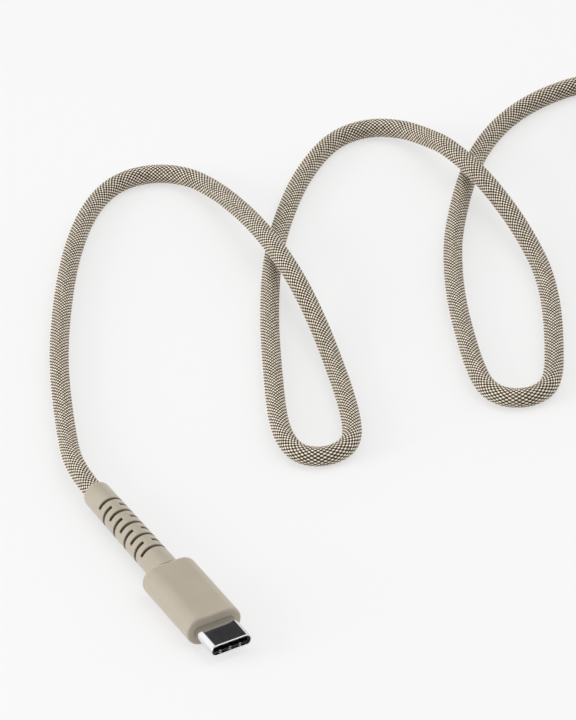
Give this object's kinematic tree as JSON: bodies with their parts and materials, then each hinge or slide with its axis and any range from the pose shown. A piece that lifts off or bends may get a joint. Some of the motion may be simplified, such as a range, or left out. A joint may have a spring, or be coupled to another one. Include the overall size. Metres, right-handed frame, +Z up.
{
  "type": "charging cable",
  "caption": "Braided USB-C charging cable with a slotted strain relief behind a soft moulded plug, its cord in loose loops and a tied coil, a plug on each end.",
  "frame": {"origin": "on the surface the cable lies on, under the middle of the first plug (shell, body and strain relief)", "axes": "+X out of the first plug's nose, +Z up from the surface, +Y towards the loops and the coil"},
  "size_m": [0.1541, 0.1929, 0.0091],
  "materials": {
    "bright_shell": "bright nickel plating",
    "black_insulator": "moulded, slight sheen",
    "gold_contact": "gold flash plating",
    "carrier_plastic": "moulded",
    "spring_steel": "rolled spring steel",
    "board_laminate": "green solder mask",
    "chip_resin": "moulded resin",
    "capacitor_body": "fired ceramic",
    "solder_metal": "reflowed solder",
    "can_steel": "tinned sheet",
    "ferrule_metal": "pressed",
    "inner_plastic": "moulded",
    "soft_body": "soft matte, warm taupe",
    "soft_relief": "soft matte, warm taupe",
    "dark_jacket": "matte",
    "shield_wire": "fine woven wire",
    "red_insulation": "extruded",
    "black_insulation": "extruded",
    "green_insulation": "extruded",
    "blue_insulation": "extruded",
    "braided_sleeve": "two-tone braid, light and dark taupe",
    "tie_strap": "hook-and-loop strap"
  },
  "bodies": {
    "root": {"plug_shell": "bright_shell", "front_insulator": "black_insulator", "upper_contacts": "gold_contact", "lower_contacts": "gold_contact", "upper_contact_carrier": "carrier_plastic", "lower_contact_carrier": "carrier_plastic", "latch_springs": "spring_steel", "upper_ground_spring": "spring_steel", "lower_ground_spring": "spring_steel", "circuit_board": "board_laminate", "marker_chip": "chip_resin", "board_capacitors": "capacitor_body", "solder_pads": "solder_metal", "upper_shield_can": "can_steel", "lower_shield_can": "can_steel", "crimp_ferrule": "ferrule_metal", "inner_mould": "inner_plastic", "body_cover": "soft_body", "strain_relief": "soft_relief", "cable_jacket": "dark_jacket", "cable_shield": "shield_wire", "power_wire": "red_insulation", "ground_wire": "black_insulation", "data_wires": "green_insulation", "sense_wire": "blue_insulation", "far_plug_shell": "bright_shell", "far_front_insulator": "black_insulator", "far_latch_springs": "spring_steel", "far_circuit_board": "board_laminate", "far_marker_chip": "chip_resin", "far_board_capacitors": "capacitor_body", "far_solder_pads": "solder_metal", "far_crimp_ferrule": "ferrule_metal", "far_inner_mould": "inner_plastic", "far_body_cover": "soft_body", "far_strain_relief": "soft_relief", "far_cable_jacket": "dark_jacket", "far_cable_shield": "shield_wire", "far_power_wire": "red_insulation", "far_ground_wire": "black_insulation", "far_data_wires": "green_insulation", "far_sense_wire": "blue_insulation", "far_contacts": "gold_contact", "far_contact_carriers": "carrier_plastic", "far_ground_springs": "spring_steel", "far_shield_can": "can_steel", "cord": "braided_sleeve", "cord_tail": "braided_sleeve", "cord_coil": "braided_sleeve", "cord_tie": "tie_strap"}
  },
  "joints": []
}
